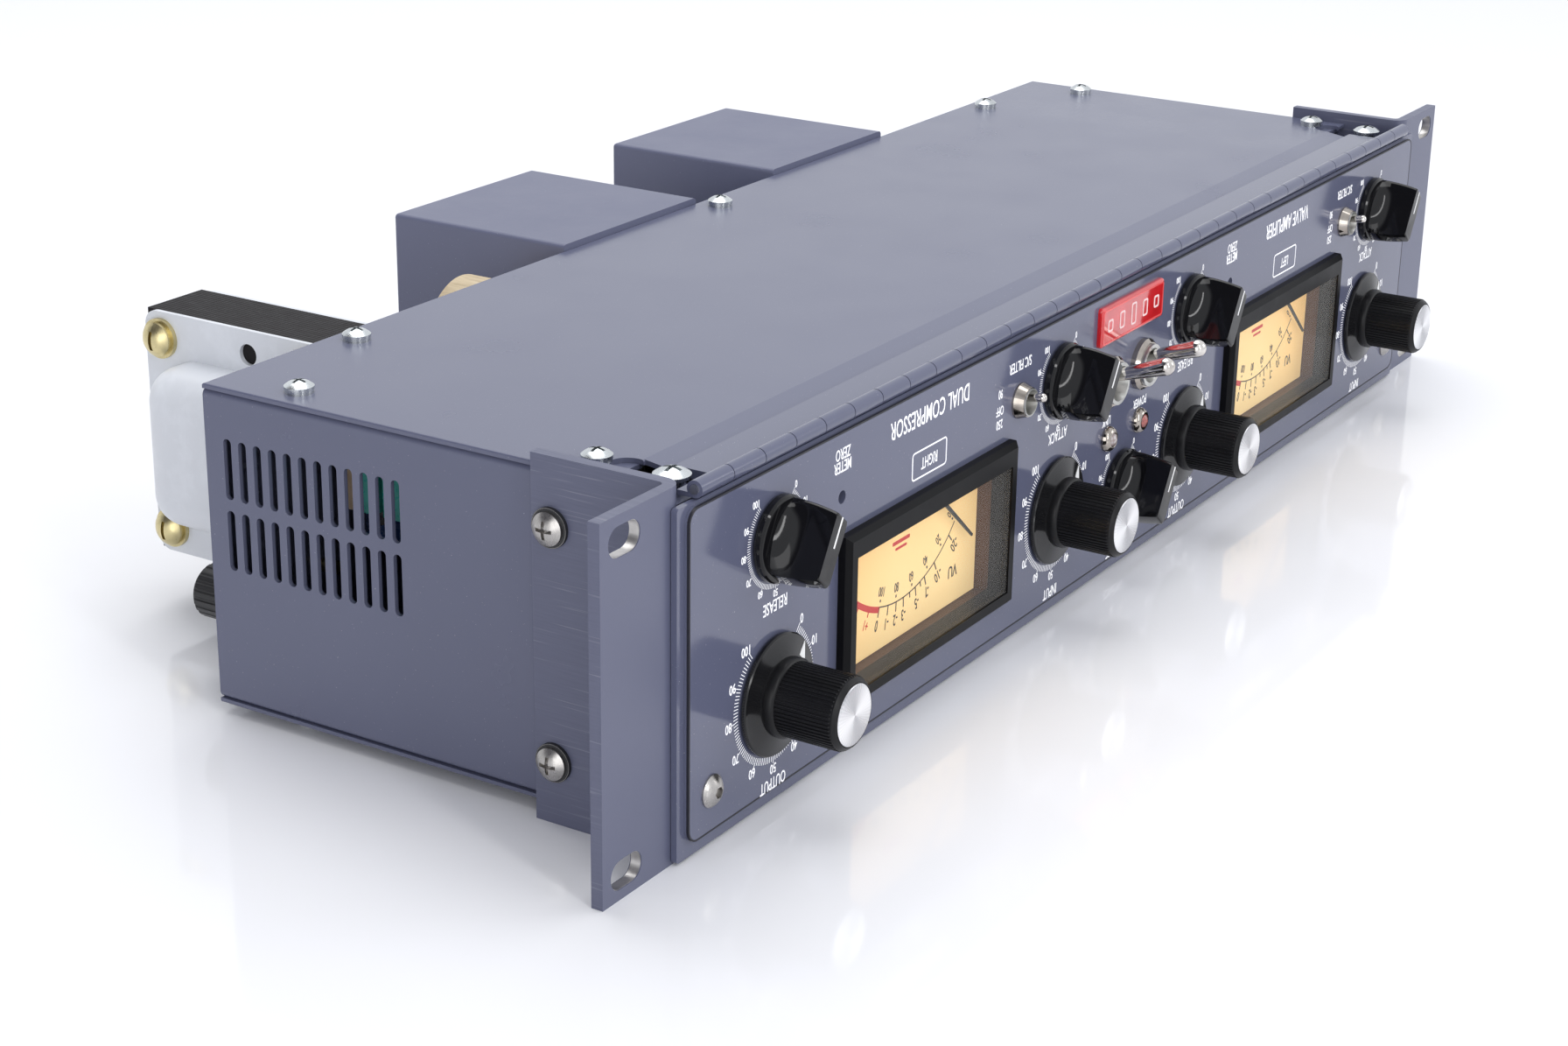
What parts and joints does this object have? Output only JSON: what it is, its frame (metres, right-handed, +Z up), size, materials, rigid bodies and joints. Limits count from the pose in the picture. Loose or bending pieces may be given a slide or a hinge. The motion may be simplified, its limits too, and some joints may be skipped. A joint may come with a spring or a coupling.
{
  "type": "rack compressor",
  "caption": "Two-channel valve compressor for a 19 inch rack: hinged front door with meters, knobs and toggles, vented steel case, rear transformers and sockets.",
  "frame": {"origin": "middle of the four rack slots, on the front face of the rack ears", "axes": "+X along the front towards the left channel's controls, +Y back from the front, +Z up as the unit lies; it lies inverted and reads the right way up after half a turn about Y"},
  "size_m": [0.4826, 0.2224, 0.0882],
  "materials": {
    "case_paint": "satin",
    "door_paint": "satin",
    "ear_paint": "satin, sawn edges",
    "zinc_screw": "zinc plated",
    "stainless_screw": "stainless",
    "hinge_steel": "satin paint over steel",
    "pin_steel": "bright drawn steel",
    "bracket_steel": "zinc plated",
    "deck_aluminium": "mill finish",
    "board_laminate": "solder resist over laminate",
    "standoff_brass": "nickel plated",
    "socket_ceramic": "glazed ceramic",
    "tube_glass": "clear",
    "film_capacitor": "moulded",
    "electrolytic": "sleeved",
    "resistor": "lacquered",
    "loom": "sleeved wire",
    "lamination": "varnished silicon steel",
    "bell_paint": "satin",
    "winding_tape": "taped copper",
    "can_paint": "satin",
    "card_sleeve": "card",
    "black_moulding": "moulded",
    "connector_shell": "black",
    "contact_metal": "plated",
    "bezel_plastic": "satin moulded",
    "meter_lens": "clear",
    "meter_card": "printed card, lit",
    "meter_body": "moulded",
    "needle_paint": "matt",
    "badge_resin": "domed resin",
    "chrome_nut": "polished",
    "lamp_lens": "translucent",
    "pot_metal": "plated",
    "switch_body": "plated",
    "round_knob": "matt grip, spun aluminium cap",
    "bar_knob": "gloss",
    "chrome_lever": "polished",
    "fuse_cap": "moulded"
  },
  "bodies": {
    "case": {"case_shell": "case_paint", "upper_cover": "case_paint", "lower_cover": "case_paint", "cover_screws": "zinc_screw", "right_channel_ear": "ear_paint", "left_channel_ear": "ear_paint", "ear_screws": "stainless_screw", "hinge_fixed_leaf": "hinge_steel", "hinge_pin": "pin_steel", "latch_brackets": "bracket_steel", "inner_deck": "deck_aluminium", "circuit_board": "board_laminate", "board_standoffs": "standoff_brass", "tube_sockets": "socket_ceramic", "vacuum_tubes": "tube_glass", "film_capacitors": "film_capacitor", "electrolytic_capacitors": "electrolytic", "resistors": "resistor", "wire_loom": "loom", "power_transformer_core": "lamination", "power_transformer_bells": "bell_paint", "transformer_windings": "winding_tape", "audio_transformer_cans": "can_paint", "audio_transformer_cores": "lamination", "smoothing_capacitor": "card_sleeve", "fuse_holder": "black_moulding", "mains_inlet": "black_moulding", "input_connectors": "connector_shell", "output_connectors": "connector_shell", "connector_pins": "contact_metal", "rear_screws": "zinc_screw"},
    "door": {"sub_panel": "door_paint", "faceplate": "door_paint", "hinge_door_leaf": "hinge_steel", "door_screws": "stainless_screw", "meter_bezels": "bezel_plastic", "meter_lenses": "meter_lens", "meter_scales": "meter_card", "meter_cases": "meter_body", "badge": "badge_resin", "panel_nuts": "chrome_nut", "lamp_lenses": "lamp_lens", "potentiometers": "pot_metal", "switch_bodies": "switch_body"},
    "right_output_knob": {"right_output_knob": "round_knob"},
    "right_input_knob": {"right_input_knob": "round_knob"},
    "left_output_knob": {"left_output_knob": "round_knob"},
    "left_input_knob": {"left_input_knob": "round_knob"},
    "right_release_knob": {"right_release_knob": "bar_knob"},
    "right_attack_knob": {"right_attack_knob": "bar_knob"},
    "left_release_knob": {"left_release_knob": "bar_knob"},
    "left_attack_knob": {"left_attack_knob": "bar_knob"},
    "balance_knob": {"balance_knob": "bar_knob"},
    "link_lever": {"link_lever": "chrome_lever"},
    "power_lever": {"power_lever": "chrome_lever"},
    "right_filter_lever": {"right_filter_lever": "chrome_lever"},
    "left_filter_lever": {"left_filter_lever": "chrome_lever"},
    "right_needle": {"right_needle": "needle_paint"},
    "left_needle": {"left_needle": "needle_paint"},
    "fuse_cap": {"fuse_cap": "fuse_cap"}
  },
  "joints": [
    {"name": "door_hinge", "type": "hinge", "parent": "case", "child": "door", "pos_m": [0, -0.0011, 0.04185], "axis": [-1, 0, 0], "range_deg": [0, 95]},
    {"name": "right_output_turn", "type": "hinge", "parent": "door", "child": "right_output_knob", "pos_m": [-0.1785, -0.0033, -0.01585], "axis": [0, 1, 0], "range_deg": [-16, 284]},
    {"name": "right_input_turn", "type": "hinge", "parent": "door", "child": "right_input_knob", "pos_m": [-0.04, -0.0033, -0.01405], "axis": [0, 1, 0], "range_deg": [-16, 284]},
    {"name": "left_output_turn", "type": "hinge", "parent": "door", "child": "left_output_knob", "pos_m": [0.04, -0.0033, -0.01585], "axis": [0, 1, 0], "range_deg": [-16, 284]},
    {"name": "left_input_turn", "type": "hinge", "parent": "door", "child": "left_input_knob", "pos_m": [0.1785, -0.0033, -0.01405], "axis": [0, 1, 0], "range_deg": [-16, 284]},
    {"name": "right_release_turn", "type": "hinge", "parent": "door", "child": "right_release_knob", "pos_m": [-0.1785, -0.0033, 0.02195], "axis": [0, 1, 0], "range_deg": [0, 300]},
    {"name": "right_attack_turn", "type": "hinge", "parent": "door", "child": "right_attack_knob", "pos_m": [-0.04, -0.0033, 0.02195], "axis": [0, 1, 0], "range_deg": [0, 300]},
    {"name": "left_release_turn", "type": "hinge", "parent": "door", "child": "left_release_knob", "pos_m": [0.04, -0.0033, 0.02195], "axis": [0, 1, 0], "range_deg": [0, 300]},
    {"name": "left_attack_turn", "type": "hinge", "parent": "door", "child": "left_attack_knob", "pos_m": [0.1785, -0.0033, 0.02195], "axis": [0, 1, 0], "range_deg": [0, 300]},
    {"name": "balance_turn", "type": "hinge", "parent": "door", "child": "balance_knob", "pos_m": [0, -0.0033, -0.01865], "axis": [0, 1, 0], "range_deg": [0, 300]},
    {"name": "link_throw", "type": "hinge", "parent": "door", "child": "link_lever", "pos_m": [-0.01, 0.001, 0.01355], "axis": [1, 0, 0], "range_deg": [0, 39]},
    {"name": "power_throw", "type": "hinge", "parent": "door", "child": "power_lever", "pos_m": [0.01, 0.001, 0.01355], "axis": [1, 0, 0], "range_deg": [0, 39]},
    {"name": "right_filter_throw", "type": "hinge", "parent": "door", "child": "right_filter_lever", "pos_m": [-0.0625, 0.001, 0.02245], "axis": [1, 0, 0], "range_deg": [0, 20]},
    {"name": "left_filter_throw", "type": "hinge", "parent": "door", "child": "left_filter_lever", "pos_m": [0.156, 0.001, 0.02245], "axis": [1, 0, 0], "range_deg": [0, 20]},
    {"name": "right_needle_swing", "type": "hinge", "parent": "door", "child": "right_needle", "pos_m": [-0.10925, 0.002, 0.01795], "axis": [0, 1, 0], "range_deg": [0, 98], "stiffness_Nm_per_rad": 0.0005},
    {"name": "left_needle_swing", "type": "hinge", "parent": "door", "child": "left_needle", "pos_m": [0.10925, 0.002, 0.01795], "axis": [0, 1, 0], "range_deg": [0, 98], "stiffness_Nm_per_rad": 0.0005},
    {"name": "fuse_cap_turn", "type": "hinge", "parent": "case", "child": "fuse_cap", "pos_m": [-0.195, 0.1365, -0.02005], "axis": [0, 1, 0], "range_deg": [0, 90]}
  ]
}
